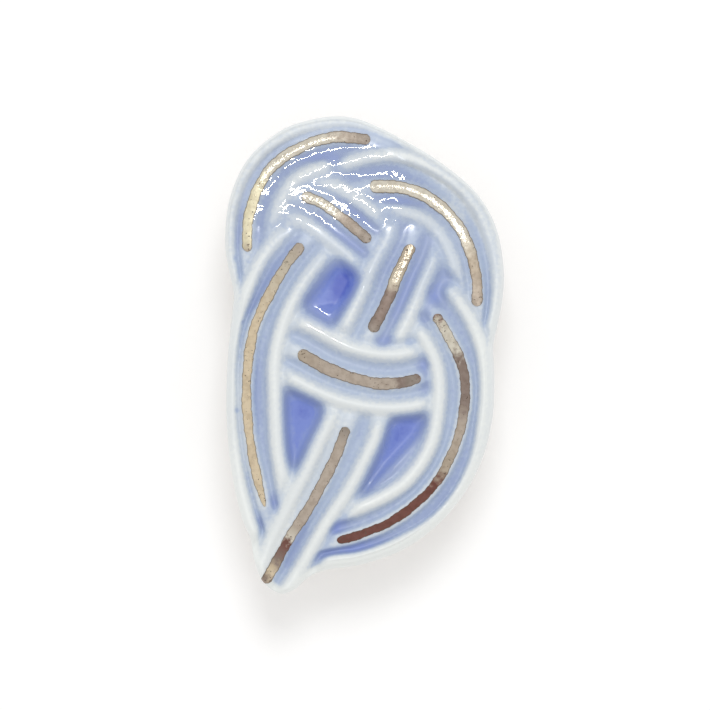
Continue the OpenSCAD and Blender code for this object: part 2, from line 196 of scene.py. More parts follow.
def round_bell(q, fullness=0.85):
    """A cord's round section: 1 in its middle, 0 at a distance of 1 on either side."""
    return np.clip(1 - q**2, 0, None) ** fullness


def strand_rise(across, left, right):
    """Rise of a strand by the distance across it, from its two ribs and the ridge between them."""
    beyond_left, beyond_right = across - left, -across - right
    rib_left = round_bell(beyond_left / np.where(beyond_left > 0, RIB_OUTER, RIB_INNER))
    rib_right = round_bell(beyond_right / np.where(beyond_right > 0, RIB_OUTER, RIB_INNER))
    flat = STROKE_WIDTH / 2
    ridge = round_bell(np.clip(np.abs(across) - flat, 0, None) / (RIDGE_HALF - flat), RIDGE_FULLNESS)
    inside = (across < left) & (across > -right)
    base = np.where(inside, GROOVE_RISE, 0.0)
    rib = np.maximum(rib_left, rib_right) * (RIB_RISE - base)
    return base + np.maximum(rib, np.where(inside, ridge * (RIDGE_RISE - GROOVE_RISE), 0.0))


def room_beside(across, left, right, row, last):
    """Greatest rise that a strand leaves to one that passes under it."""
    out = np.maximum(across - left, -across - right)
    room = np.where(out <= 0, 0.0, TUCK_LOW + (RIB_RISE - TUCK_LOW) * out / TUCK_RUN)
    return np.where((row < 0) | (row > last), RIB_RISE + 1, room)


print("rise from rib to rib in mm:", strand_rise(np.linspace(-2, 2, 5), 2.0, 2.0).round(2))

# %% [markdown]
# Three deep pockets lie between the strands, and elsewhere the ground is shallower. The pockets
# could be cut out with a boolean, but clay under glaze has softer edges. The face is the highest
# of its strands and its ground at every spot, on a slight crown over the whole knot.

# %% The pockets, the crown and the relief of the whole knot
FLOOR = 2.6
CROWN_RISE = 1.6
CROWN_A, CROWN_B = 14.5, 24.5
END_DEPTH = 0.3
SHALLOW_RISE = 0.85
POCKETS = [
    [[-2.4, 9.2], [-0.7, 8.8], [-0.6, 8.0], [-2.2, 3.3], [-3.4, 3.0], [-5.7, 4.6], [-5.7, 5.3]],
    [[-7.6, -3.3], [-4.5, -5.0], [-4.6, -6.1], [-7.1, -12.5], [-7.9, -12.5], [-7.7, -6.6]],
    [[2.2, -6.3], [5.9, -6.3], [5.2, -8.0], [0.0, -13.6], [-1.0, -13.9], [-0.7, -12.4]],
]
POCKET_SIDES = (-0.5, 0.35)
PLACES_AT_ONCE = 8000


def to_outline(x, y, corners):
    """Distance from places to the nearest side of a closed outline."""
    a, b = corners, np.roll(corners, -1, axis=0)
    side = b - a
    nearest = np.full(len(x), 1e9)
    for start in range(0, len(x), PLACES_AT_ONCE):
        part = slice(start, start + PLACES_AT_ONCE)
        px, py = x[part, None] - a[:, 0], y[part, None] - a[:, 1]
        f = np.clip((px * side[:, 0] + py * side[:, 1]) / (side**2).sum(axis=1), 0, 1)
        nearest[part] = np.hypot(px - f * side[:, 0], py - f * side[:, 1]).min(axis=1)
    return nearest


def inside_outline(x, y, corners):
    """Whether places lie inside a closed outline: a line to the right crosses it an odd number of times."""
    a, b = corners, np.roll(corners, -1, axis=0)
    within = np.zeros(len(x), bool)
    for (ax, ay), (bx, by) in zip(a, b):
        crosses = (ay > y) != (by > y)
        at = ax + (y - ay) * (bx - ax) / (by - ay if by != ay else 1e-9)
        within ^= crosses & (x < at)
    return within


def smooth_step(value, low, high):
    """0 below a low value, 1 above a high one, and a smooth change between them."""
    f = np.clip((value - low) / (high - low), 0, 1)
    return f * f * (3 - 2 * f)


def pocket_share(x, y):
    """1 well inside the three deep pockets, 0 outside them."""
    share = np.zeros_like(x)
    for corners in POCKETS:
        corners = np.array(corners)
        d = to_outline(x, y, corners) * np.where(inside_outline(x, y, corners), 1, -1)
        share = np.maximum(share, smooth_step(d, *POCKET_SIDES))
    return share


def crown(x, y):
    """Bulge of the whole knot towards its middle."""
    return CROWN_RISE * np.clip(1 - (x / CROWN_A) ** 2 - (y / CROWN_B) ** 2, 0, None)


def knot_rise(x, y):
    """Rise of the knot above the floors of its pockets."""
    places = {name: spot(name, x, y) for name in TRACKS}
    top = SHALLOW_RISE * (1 - pocket_share(x, y))
    for name, _, over, *_ in STRANDS:
        across, left, right, row, last = places[name]
        sunk = (RIB_RISE + END_DEPTH) * np.clip(1 - np.minimum(row, last - row), 0, None)
        rise = strand_rise(across, left, right) - sunk
        for other in over:
            rise = np.minimum(rise, room_beside(*places[other]))
        top = np.maximum(top, rise)
    return top


print("rise over the middle of the knot in mm:", knot_rise(np.array([0.0]), np.array([0.0])).round(2))

# %% [markdown]
# The casting's skin starts as a grid primitive. A plain grid would meet the curved rim in steps,
# so its square is drawn round into a disc and then out to the knot's outline. All of its edge
# points then lie on the rim in order, with closer ones near it, where the cast edge is rounded.

# %% The grid, drawn out to the knot's outline
def choose(obj):
    """Only this object is selected and active."""
    if bpy.context.object and bpy.context.object.mode != "OBJECT":
        bpy.ops.object.mode_set(mode="OBJECT")
    bpy.ops.object.select_all(action="DESELECT")
    obj.select_set(True)
    bpy.context.view_layer.objects.active = obj


COLUMNS, ROWS = ((214, 372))
EDGE_CLOSENESS = 0.6
bpy.ops.object.select_all(action="DESELECT")
bpy.ops.mesh.primitive_grid_add(x_subdivisions=COLUMNS, y_subdivisions=ROWS, size=2)
porcelain = bpy.context.object
porcelain.name = "porcelain_knot"
flat = np.empty(len(porcelain.data.vertices) * 3)
porcelain.data.vertices.foreach_get("co", flat)
grid = flat.reshape(-1, 3)
across_count = int(np.sum(np.abs(grid[:, 1] - grid[0, 1]) < 1e-6))
shape = (len(grid) // across_count, across_count)

RIM = along(OUTLINE, np.arange(0, len(OUTLINE), 1 / STATIONS_PER_ROW), closed=True)
rim_angle = np.unwrap(np.arctan2(RIM[:, 1], RIM[:, 0]))
rim_radius = np.hypot(RIM[:, 0], RIM[:, 1])


def reach(angle):
    """Distance from the middle to the outline in a direction."""
    start = rim_angle.min()
    turned = start + (angle - start) % (2 * math.pi)
    order = np.argsort(rim_angle)
    return np.interp(turned, rim_angle[order], rim_radius[order], period=2 * math.pi)


def draw_out(u, v):
    """Places in millimetres inside the outline for places in the square from -1 to 1."""
    u = (1 - EDGE_CLOSENESS) * u + EDGE_CLOSENESS * np.sin(math.pi / 2 * u)
    v = (1 - EDGE_CLOSENESS) * v + EDGE_CLOSENESS * np.sin(math.pi / 2 * v)
    disc_x, disc_y = u * np.sqrt(1 - v**2 / 2), v * np.sqrt(1 - u**2 / 2)
    size = np.hypot(disc_x, disc_y)
    x, y = disc_x * CROWN_A, disc_y * CROWN_B
    angle = np.arctan2(y, x)
    oval = CROWN_A * CROWN_B / np.hypot(CROWN_B * np.cos(angle), CROWN_A * np.sin(angle))
    pull = 1 + (reach(angle) / oval - 1) * size**2
    return x * pull, y * pull


x, y = draw_out(grid[:, 0], grid[:, 1])
print("grid points:", shape, "spread in mm:", np.ptp(x).round(2), np.ptp(y).round(2))

# %% [markdown]
# The height of each point is the lower of two: the relief, and the rounding of the cast rim. A
# few passes of smoothing then stand for the glaze, which runs off the edges and softens corners.
# It lies thicker towards the top of the knot, where more passes leave the relief shallower.

# %% Heights of the glazed face
WALL, RIM_WIDTH, RIM_RISE, RIM_SLOPE = 3.0, 0.8, 1.7, 4.0
SOFT_PASSES = 8
THICK_PASSES, THICK_SHARE, THICK_RUN = 60, 0.75, (8.0, 17.0)
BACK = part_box("porcelain_body")[0].z / MM


def rim_height(d):
    """Greatest height at a distance from the outline: the rounded edge of the casting."""
    rounded = np.sqrt(np.clip(1 - (1 - np.clip(d / RIM_WIDTH, 0, 1)) ** 2, 0, None))
    return WALL + RIM_RISE * rounded + np.clip(d - RIM_WIDTH, 0, None) * RIM_SLOPE


def soft_lower(a, b, blend=0.25):
    """The lower of two heights, with a soft change from one to the other."""
    h = np.clip(0.5 + 0.5 * (b - a) / blend, 0, 1)
    return b * (1 - h) + a * h - blend * h * (1 - h)


def soften(values, passes):
    """Each point moves halfway to the mean of its four neighbours; the edge stays."""
    field = values.reshape(shape).copy()
    for _ in range(passes):
        near = field[:-2, 1:-1] + field[2:, 1:-1] + field[1:-1, :-2] + field[1:-1, 2:]
        field[1:-1, 1:-1] = 0.5 * field[1:-1, 1:-1] + 0.125 * near
    return field.ravel()


from_rim = to_outline(x, y, RIM)
edge_points = (np.abs(grid[:, 0]) > 1 - 1e-6) | (np.abs(grid[:, 1]) > 1 - 1e-6)
from_rim[edge_points] = 0
rise = knot_rise(x, y)
relief = FLOOR + crown(x, y) + rise
cast = soft_lower(relief, np.where(edge_points, WALL, rim_height(from_rim)))
height = soften(cast, SOFT_PASSES)
thick = THICK_SHARE * smooth_step(y, *THICK_RUN)
height += thick * (soften(height, THICK_PASSES) - height)
height[edge_points] = WALL
moved = np.column_stack([x, y, BACK + height]) * MM
porcelain.data.vertices.foreach_set("co", moved.ravel())
porcelain.data.update()
print("the face in mm above the flat back: from", height.min().round(2), "to", height.max().round(2))

# %% [markdown]
# Molten glaze pools where the face lies deepest under the tops of the ribs. It isn't even: it
# gathered in some grooves and corners, ran thin in others, and left three tiny blue specks on the
# rim. The same depth also carries painted shade: a darker band along the rim, all but its lower end,
# and a darker top, which is partly thicker glaze. This could be painted on the skin by hand, but soft
# ovals at measured places are repeatable.

# %% How deep the glaze pools, and where shade is painted
POOL_BLUR, POOL_PASSES = 36, 3
POOLED = (0.1, 0.4)
OFF_RIM = (0.0, 0.9)
# Deeper colour towards the top: partly thicker glaze, partly painted shade on the top, which faces the lamp
TOP_GLAZE_AND_SHADE, TOP_GLAZE_AND_SHADE_RISE = 0.13, (0.0, 14.0)
# Painted shade: a darker band along the rim, its width in mm, and the heights where it fades in
RIM_PAINTED_SHADE, RIM_SHADE_WIDTH, RIM_SHADE_RISES = 0.13, (0.4, 1.1), (-16.0, -4.0)
NO_POOL_ON_RIM = (0.35, 1.0)
# An oval is its middle, half its length and half its width in mm, its turn in degrees, and how
# much deeper the glaze lies in it, or how much shallower where the last number is below 0
THICK_PATCH = (5.0, 10.0, 8.0, 5.0, 0, 0.13)
GATHERED = [
    (-3.0, -17.2, 2.6, 0.9, 60, 0.45), (-1.0, -19.4, 3.5, 0.6, 12, 0.35), (6.4, 5.0, 2.0, 0.9, 65, 0.45),
    (6.1, -1.3, 2.4, 0.6, 90, 0.35), (3.3, 1.3, 2.4, 0.6, 0, 0.4), (-9.4, -15.5, 1.6, 0.8, 60, 0.4),
    (3.9, 5.7, 3.6, 0.5, 65, 0.3), (-8.9, 8.0, 4.2, 0.6, 55, 0.3), (-2.3, 11.7, 2.6, 0.5, -35, 0.3),
    (-0.5, 14.0, 2.3, 0.5, -40, 0.25), (-6.6, -18.0, 4.0, 0.6, 66, 0.3), (3.6, 15.2, 1.8, 0.5, -8, 0.3),
    (-11.0, -3.0, 6.5, 0.5, 90, 0.12), (6.0, 18.2, 4.5, 1.0, -28, -0.2), (12.4, 10.5, 4.5, 1.0, -80, -0.2),
    (9.6, 14.8, 3.4, 1.1, -50, -0.3), (-4.8, 4.0, 1.8, 0.9, -32, -0.16),
    (-1.9, 7.2, 2.4, 1.3, 70, 0.45), (-6.0, -5.6, 1.3, 1.1, 0, 0.15), (3.4, -7.8, 2.6, 1.0, 50, 0.15),
    (-12.5, 12.5, 2.6, 0.5, 80, 0.15), (-3.5, 19.6, 2.6, 0.5, -4, 0.3), (1.0, 21.0, 2.2, 0.8, -25, 0.3),
]
# Middle and radius of each speck in mm
BLUE_SPECKS = [(-13.0, 9.7, 0.16), (-12.2, 3.3, 0.13), (-12.8, -5.5, 0.2)]
SPECK_DEPTH = 0.3


def soft_oval(mid_x, mid_y, half_length, half_width, turn):
    """1 in the middle of an oval, fading to 0 around it."""
    c, s = math.cos(math.radians(turn)), math.sin(math.radians(turn))
    dx, dy = x - mid_x, y - mid_y
    return np.exp(-(((dx * c + dy * s) / half_length) ** 2) - ((dy * c - dx * s) / half_width) ** 2)


pool_and_shade = (RIB_RISE - soften(rise, POOL_BLUR)) / RIB_RISE * smooth_step(from_rim, *NO_POOL_ON_RIM)
deeper = sum(amount * soft_oval(*oval) for *oval, amount in GATHERED)
pool_and_shade += deeper * smooth_step(pool_and_shade, *POOLED)
off_rim = smooth_step(from_rim, *OFF_RIM)
# The top: thicker glaze and painted shade together
pool_and_shade += TOP_GLAZE_AND_SHADE * smooth_step(y, *TOP_GLAZE_AND_SHADE_RISE) * off_rim * (1 - pool_and_shade)
# Painted shade along the rim, all but its lower end
pool_and_shade += RIM_PAINTED_SHADE * (1 - smooth_step(from_rim, *RIM_SHADE_WIDTH)) * smooth_step(y, *RIM_SHADE_RISES)
*patch, patch_depth = THICK_PATCH
pool_and_shade += patch_depth * soft_oval(*patch) * off_rim * (1 - pool_and_shade)
for mid_x, mid_y, radius in BLUE_SPECKS:
    pool_and_shade += SPECK_DEPTH * soft_oval(mid_x, mid_y, radius, radius, 0)
depth = porcelain.data.attributes.new("glaze_pool_and_shade", "FLOAT", "POINT")
depth.data.foreach_set("value", soften(pool_and_shade, POOL_PASSES).astype(np.float32))
print("pooling from", pool_and_shade.min().round(2), "to", pool_and_shade.max().round(2))

# %% [markdown]
# The glaze gleams most where it lies thick, at the top. Over the rim and below the top it is
# thinner and more satin, apart from a few glossy drops. A second material could be put on those
# faces, but its border would show. A share from 0 to 1 on the skin fades from one to the other.

# %% Where the glaze is satin
SATIN_OVER_RIM = (1.4, 2.1)
SATIN_BELOW = (11.5, 13.5)
# Middle of each drop, half its length and half its width in mm, turn in degrees
GLOSSY_DROPS = [
    (-4.0, 4.5, 1.6, 0.5, 10), (-4.0, 2.4, 2.4, 0.9, -25), (0.2, 7.5, 0.8, 0.5, 60),
    (1.5, -12.5, 2.4, 0.7, 50), (2.7, -8.3, 1.0, 0.5, 70), (8.5, -14.5, 0.9, 0.6, 50),
]
satin = 1 - smooth_step(from_rim, *SATIN_OVER_RIM) * smooth_step(y, *SATIN_BELOW)
for drop in GLOSSY_DROPS:
    satin *= 1 - np.clip(2 * soft_oval(*drop), 0, 1)
sheen = porcelain.data.attributes.new("satin", "FLOAT", "POINT")
sheen.data.foreach_set("value", satin.astype(np.float32))
print("satin share of the face:", satin.mean().round(2))

# %% [markdown]
# The side and back are made as by hand: the edge loop of the skin is extruded down to the wall's
# foot, once more for the small bevel that a potter wipes round the foot, and is then filled.

# %% The side wall, the wiped foot and the flat back
FOOT_BEVEL = 0.4
FOOT_SIZE = (0.97, 0.983, 1)
WALL_STEP = 0.9
choose(porcelain)
bpy.ops.object.mode_set(mode="EDIT")
bpy.ops.mesh.select_mode(type="EDGE")
bpy.ops.mesh.select_all(action="DESELECT")
bpy.ops.mesh.select_non_manifold(extend=False)
for step in (WALL_STEP, WALL_STEP, WALL - FOOT_BEVEL - 2 * WALL_STEP, FOOT_BEVEL):
    bpy.ops.mesh.extrude_edges_move(TRANSFORM_OT_translate={"value": (0, 0, -step * MM)})
bpy.ops.transform.resize(value=FOOT_SIZE, center_override=(0, 0, BACK * MM))
bpy.ops.mesh.edge_face_add()
bpy.ops.mesh.select_all(action="SELECT")
bpy.ops.mesh.normals_make_consistent(inside=False)
bpy.ops.object.mode_set(mode="OBJECT")
bpy.ops.object.shade_smooth_by_angle(angle=math.radians(50))
print("porcelain:", len(porcelain.data.polygons), "faces")

# %% [markdown]
# Every brushed stroke is a ribbon. It could be painted on the porcelain, but lustre is fired on as
# a film of its own with a visible edge, so each is a thin piece. A grid strip is bent along its
# ridge, its sides waver as a hand-drawn line does, and a shrinkwrap lays it on the glaze.

# %% Ribbons of lustre laid on the ridges
RIBBON_STEPS_PER_MM, RIBBON_ACROSS = 7, 8
LIFT, FILM = 0.02, 0.06
PATH_SAMPLES, ROW_STEP = 400, 0.02
LEAST_CAP = 0.02
# Length of each wave of a hand-drawn edge and how far it strays, in mm
EDGE_WAVES = ((6.0, 0.035), (2.6, 0.025), (1.1, 0.02), (0.6, 0.016), (0.35, 0.012))
rng = np.random.default_rng(7)


def waver(u, length):
    """Slow uneven drift of a brushed edge, in millimetres."""
    drift = np.zeros_like(u)
    for wave, size in EDGE_WAVES:
        drift += size * np.sin(2 * math.pi * (u * length / wave + rng.random()))
    return drift


def round_cap(f):
    """Share of the full width near a rounded end, where f is 0 at the end and 1 past the rounding."""
    return np.sqrt(np.clip(1 - (1 - np.clip(f, 0, 1)) ** 2, LEAST_CAP, None))


def ribbon(name, table, first, last, start_round=0.5, end_round=0.5, start_width=1.0, end_width=1.0):
    """A brushed stroke along a strand, between two of its rows."""
    fine = np.linspace(first, last, PATH_SAMPLES)
    path = along(table, fine)[:, :2]
    steps = np.concatenate([[0], np.cumsum(np.linalg.norm(np.diff(path, axis=0), axis=1))])
    length = steps[-1]
    bpy.ops.object.select_all(action="DESELECT")
    bpy.ops.mesh.primitive_grid_add(
        x_subdivisions=int(length * RIBBON_STEPS_PER_MM), y_subdivisions=RIBBON_ACROSS, size=2
    )
    obj = bpy.context.object
    obj.name = f"lustre_stroke_{name}"
    spots = np.empty(len(obj.data.vertices) * 3)
    obj.data.vertices.foreach_get("co", spots)
    spots = spots.reshape(-1, 3)
    u, w = (spots[:, 0] + 1) / 2, spots[:, 1]
    run = u * length
    t = np.interp(run, steps, fine)
    here = along(table, t)
    further, back = np.minimum(t + ROW_STEP, len(table) - 1), np.maximum(t - ROW_STEP, 0)
    ahead = along(table, further) - along(table, back)
    way = ahead[:, :2] / np.linalg.norm(ahead[:, :2], axis=1)[:, None]
    start_cap = round_cap(run / start_round)
    end_cap = round_cap((length - run) / end_round)
    width = start_width + (end_width - start_width) * u
    half = STROKE_WIDTH / 2 * width * start_cap * end_cap
    left_drift, right_drift = waver(u, length), waver(u, length)
    side = w * half + np.where(w > 0, left_drift, right_drift) * np.abs(w) * start_cap * end_cap
    place_x = here[:, 0] - way[:, 1] * side
    place_y = here[:, 1] + way[:, 0] * side
    above = np.full_like(place_x, cad_high.z / MM + 1)
    obj.data.vertices.foreach_set("co", (np.column_stack([place_x, place_y, above]) * MM).ravel())
    obj.data.update()
    lay = obj.modifiers.new("laid on the glaze", "SHRINKWRAP")
    lay.target = porcelain
    lay.wrap_method = "PROJECT"
    lay.use_project_z = True
    lay.use_negative_direction = True
    lay.use_positive_direction = False
    lay.offset = LIFT * MM
    film = obj.modifiers.new("thickness of the film", "SOLIDIFY")
    film.thickness = FILM * MM
    film.offset = 1
    choose(obj)
    for modifier in ("laid on the glaze", "thickness of the film"):
        bpy.ops.object.modifier_apply(modifier=modifier)
    bpy.ops.object.shade_smooth_by_angle(angle=math.radians(60))
    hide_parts(f"lustre_{name}")
    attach(obj, "root")
    return obj


STROKE_ENDS = {
    "left_side": {"end_round": 3.2, "end_width": 0.85},
    "middle": {"start_width": 1.22, "end_width": 1.02},
    "upper_left": {"start_width": 0.98, "end_width": 1.08},
    "upper_right": {"start_width": 1.25, "end_width": 1.0},
    "inner_right": {"start_width": 1.1, "end_width": 1.12},
    "right_side": {"start_width": 1.0, "end_width": 0.8},
}
strokes = {}
for name, table, _, first, last in STRANDS:
    strokes[name] = ribbon(name, table, first, last, **STROKE_ENDS.get(name, {}))
print("ribbons:", {name: len(obj.data.polygons) for name, obj in strokes.items()})

# %% [markdown]
# Glaze is never quite even, and neither is fired lustre or drawn metal. One node group makes that
# unevenness for all of them: soft patches, fine specks, and the normal of a slightly rippled
# surface. Building it once keeps the finishes alike in kind, and each sets its own scales.

# %% A shared group for uneven surfaces
def socket(group, name, way, kind, value=None):
    """A named socket on a group, with its first value."""
    made = group.interface.new_socket(name=name, in_out=way, socket_type=kind)
    if value is not None:
        made.default_value = value
    return made


def uneven_group():
    """Patches, specks and a rippled normal from a surface's place on its own object."""
    group = bpy.data.node_groups.new("uneven surface", "ShaderNodeTree")
    socket(group, "Patch Scale", "INPUT", "NodeSocketFloat", 400.0)
    socket(group, "Patch Detail", "INPUT", "NodeSocketFloat", 3.0)
    socket(group, "Grain Scale", "INPUT", "NodeSocketFloat", 3000.0)
    socket(group, "Ripple", "INPUT", "NodeSocketFloat", 0.1)
    socket(group, "Grain", "INPUT", "NodeSocketFloat", 0.1)
    socket(group, "Surface", "INPUT", "NodeSocketVector")
    socket(group, "Patches", "OUTPUT", "NodeSocketFloat")
    socket(group, "Specks", "OUTPUT", "NodeSocketFloat")
    socket(group, "Normal", "OUTPUT", "NodeSocketVector")
    nodes, links = group.nodes, group.links
    inside, outside = nodes.new("NodeGroupInput"), nodes.new("NodeGroupOutput")
    place = nodes.new("ShaderNodeTexCoord")
    patches = nodes.new("ShaderNodeTexNoise")
    links.new(inside.outputs["Patch Detail"], patches.inputs["Detail"])
    grain = nodes.new("ShaderNodeTexNoise")
    grain.inputs["Detail"].default_value = 1.0
    for noise, scale in ((patches, "Patch Scale"), (grain, "Grain Scale")):
        links.new(place.outputs["Object"], noise.inputs["Vector"])
        links.new(inside.outputs[scale], noise.inputs["Scale"])
    wide, fine = nodes.new("ShaderNodeBump"), nodes.new("ShaderNodeBump")
    for bump, noise, strength, reach_mm in ((wide, patches, "Ripple", 0.05), (fine, grain, "Grain", 0.02)):
        bump.inputs["Distance"].default_value = reach_mm * MM
        links.new(noise.outputs["Fac"], bump.inputs["Height"])
        links.new(inside.outputs[strength], bump.inputs["Strength"])
    links.new(inside.outputs["Surface"], wide.inputs["Normal"])
    links.new(wide.outputs["Normal"], fine.inputs["Normal"])
    links.new(patches.outputs["Fac"], outside.inputs["Patches"])
    links.new(grain.outputs["Fac"], outside.inputs["Specks"])
    links.new(fine.outputs["Normal"], outside.inputs["Normal"])
    return group


UNEVEN = uneven_group()
print("group:", UNEVEN.name, "with sockets", [s.name for s in UNEVEN.interface.items_tree])

# %% [markdown]
# Every finish on this ornament takes the same few steps: it starts a material with the group,
# runs through colours as a kiln-fired surface does, and maps one value to another. They are
# written once as helpers, so that each finish below is short enough to read at a glance.

# %% Helpers that every finish uses
SCREEN_CURVE = 2.2


def finish_of(name):
    """A new material with its shader, and the shared unevenness beside it."""
    material = bpy.data.materials.new(name)
    material.use_nodes = True
    nodes = material.node_tree.nodes
    uneven = nodes.new("ShaderNodeGroup")
    uneven.node_tree = UNEVEN
    links = material.node_tree.links
    links.new(nodes.new("ShaderNodeNewGeometry").outputs["Normal"], uneven.inputs["Surface"])
    return material, nodes, links, nodes["Principled BSDF"], uneven


def ramp(nodes, stops, smooth=True):
    """A colour ramp through (place, colour) stops."""
    made = nodes.new("ShaderNodeValToRGB")
    made.color_ramp.interpolation = "EASE" if smooth else "LINEAR"
    elements = made.color_ramp.elements
    while len(elements) > 1:
        elements.remove(elements[-1])
    for k, (place, colour) in enumerate(stops):
        element = elements[0] if k == 0 else elements.new(place)
        element.position = place
        element.color = (*[(c / 255) ** SCREEN_CURVE for c in colour], 1)
    return made


def remap(nodes, links, source, low, high, to_low=0.0, to_high=1.0):
    """A value that runs from to_low to to_high while the source runs from low to high."""
    made = nodes.new("ShaderNodeMapRange")
    for socket_name, value in zip(("From Min", "From Max", "To Min", "To Max"), (low, high, to_low, to_high)):
        made.inputs[socket_name].default_value = value
    links.new(source, made.inputs["Value"])
    return made.outputs["Result"]


def combine(nodes, links, operation, a, b):
    """Two values joined by an operation; the second may be a plain number."""
    made = nodes.new("ShaderNodeMath")
    made.operation = operation
    links.new(a, made.inputs[0])
    if isinstance(b, float):
        made.inputs[1].default_value = b
    else:
        links.new(b, made.inputs[1])
    return made.outputs[0]


def wear(obj, material):
    """The object's only material."""
    obj.data.materials.clear()
    obj.data.materials.append(material)


print("every finish starts with the group", UNEVEN.name)

# %% [markdown]
# The glaze is white where it is thin, over the tops of the ribs, and blue where it has pooled. The
# colour follows the depth that was kept on the skin, with its painted shade on the rim and top, and
# with fine mottling, because cobalt spreads unevenly. The back was wiped before firing, so it stays
# matt and slightly warm. Towards the top, where the glaze is thick, its wavy surface is nearly level
# and breaks highlights into jagged lines. Modelling such small waves would take millions of faces,
# so they are in the normal alone.

# %% The glaze
GLAZE_STOPS = [
    (0.0, (237, 241, 239)), (0.14, (227, 232, 233)), (0.27, (206, 215, 225)), (0.4, (180, 194, 217)),
    (0.54, (156, 171, 206)), (0.67, (148, 164, 208)), (0.83, (140, 157, 212)), (1.0, (121, 140, 211)),
    (1.3, (80, 99, 190)),
]
POOL_RANGE = GLAZE_STOPS[-1][0]
MOTTLE = 0.16
BARE_BELOW, BARE_FADE, WALL_FADE = 0.4, 0.08, 0.2
BARE_COLOUR = (0.76, 0.73, 0.68, 1)
GLOSSY, SATIN, BARE_CLAY = 0.03, 0.42, 0.7
TOP_FROM, TOP_TO = 8, 14
LEVEL_AT_TOP, STEEP, GENTLE = 0.85, 0.3, 0.7
RIPPLE, RIPPLE_AT_TOP = 0.9, 2.4
GRAIN, GRAIN_AT_TOP = 0.3, 0.45


def levelled(nodes, links, place, at_top):
    """The surface's normal, turned towards that of the smooth crown where the glaze lies thick."""
    surface = nodes.new("ShaderNodeNewGeometry").outputs["Normal"]
    slope, crowned, unit = (nodes.new("ShaderNodeVectorMath") for _ in range(3))
    slope.operation, crowned.operation, unit.operation = "MULTIPLY", "ADD", "NORMALIZE"
    slope.inputs[1].default_value = (2 * CROWN_RISE / CROWN_A**2 / MM, 2 * CROWN_RISE / CROWN_B**2 / MM, 0)
    links.new(place.outputs["Object"], slope.inputs[0])
    crowned.inputs[1].default_value = (0, 0, 1)
    links.new(slope.outputs["Vector"], crowned.inputs[0])
    apart = nodes.new("ShaderNodeSeparateXYZ")
    links.new(surface, apart.inputs["Vector"])
    gentle = remap(nodes, links, apart.outputs["Z"], STEEP, GENTLE)
    share = combine(nodes, links, "MULTIPLY", at_top, gentle)
    mixed = nodes.new("ShaderNodeMix")
    mixed.data_type = "VECTOR"
    links.new(combine(nodes, links, "MULTIPLY", share, LEVEL_AT_TOP), mixed.inputs["Factor"])
    links.new(surface, mixed.inputs["A"])
    links.new(crowned.outputs["Vector"], mixed.inputs["B"])
    links.new(mixed.outputs["Result"], unit.inputs[0])
    return unit.outputs["Vector"]


def glaze():
    """White to deep blue by pooled depth and painted shade, glossy to satin, bare clay at foot and back."""
    material, nodes, links, shader, uneven = finish_of("pooled_glaze")
    uneven.inputs["Patch Scale"].default_value = 550.0
    uneven.inputs["Patch Detail"].default_value = 1.0
    uneven.inputs["Grain Scale"].default_value = 2400.0
    pooled = nodes.new("ShaderNodeAttribute")
    pooled.attribute_name = "glaze_pool_and_shade"
    mottled = remap(nodes, links, uneven.outputs["Specks"], 0.0, 1.0, -MOTTLE / 2, MOTTLE / 2)
    varied = combine(nodes, links, "ADD", pooled.outputs["Fac"], mottled)
    colours = ramp(nodes, [(place / POOL_RANGE, colour) for place, colour in GLAZE_STOPS])
    links.new(combine(nodes, links, "DIVIDE", varied, POOL_RANGE), colours.inputs["Fac"])
    place = nodes.new("ShaderNodeTexCoord")
    apart = nodes.new("ShaderNodeSeparateXYZ")
    links.new(place.outputs["Object"], apart.inputs["Vector"])
    at_top = remap(nodes, links, apart.outputs["Y"], TOP_FROM * MM, TOP_TO * MM)
    links.new(remap(nodes, links, at_top, 0.0, 1.0, RIPPLE, RIPPLE_AT_TOP), uneven.inputs["Ripple"])
    links.new(remap(nodes, links, at_top, 0.0, 1.0, GRAIN, GRAIN_AT_TOP), uneven.inputs["Grain"])
    links.new(levelled(nodes, links, place, at_top), uneven.inputs["Surface"])
    foot = (BACK + BARE_BELOW) * MM
    bare = remap(nodes, links, apart.outputs["Z"], foot, foot - BARE_FADE * MM)
    skin = nodes.new("ShaderNodeMix")
    skin.data_type = "RGBA"
    skin.inputs["B"].default_value = BARE_COLOUR
    links.new(bare, skin.inputs["Factor"])
    links.new(colours.outputs["Color"], skin.inputs["A"])
    links.new(skin.outputs["Result"], shader.inputs["Base Color"])
    satin = nodes.new("ShaderNodeAttribute")
    satin.attribute_name = "satin"
    edge = BACK + WALL
    on_face = remap(nodes, links, apart.outputs["Z"], (edge - WALL_FADE) * MM, edge * MM)
    satin_share = combine(nodes, links, "MULTIPLY", satin.outputs["Fac"], on_face)
    face_sheen = remap(nodes, links, satin_share, 0.0, 1.0, GLOSSY, SATIN)
    bare_sheen = remap(nodes, links, bare, 0.0, 1.0, GLOSSY, BARE_CLAY)
    links.new(combine(nodes, links, "MAXIMUM", face_sheen, bare_sheen), shader.inputs["Roughness"])
    links.new(uneven.outputs["Normal"], shader.inputs["Normal"])
    shader.inputs["IOR"].default_value = 1.5
    return material


wear(porcelain, glaze())
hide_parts("porcelain_body")
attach(porcelain, "root")
print("the glaze runs through", len(GLAZE_STOPS), "colours")

# %% [markdown]
# Fired lustre is a real metal film: warm and bright, browner where it burnt in the kiln, dark along
# its edges. Each stroke gets its own run of colours, read from the ribbon's UV map, which goes from 0
# to 1 along the stroke and across it. The upper strokes are smooth along a part of it. The palest
# colour, where the strokes glitter and in a few other spots, is partly the lustre's own and partly a
# painted highlight.

# %% The lustre
# The second colour is a pale lustre lightened further as a painted highlight
CHAMPAGNE, PALE_AND_GLINT, SAND = (250, 242, 210), (238, 232, 216), (240, 223, 193)
PALE, TAN, STONE = (220, 210, 190), (200, 186, 167), (205, 192, 178)
GREY, BROWN, RED = (170, 160, 150), (162, 146, 137), (136, 96, 88)
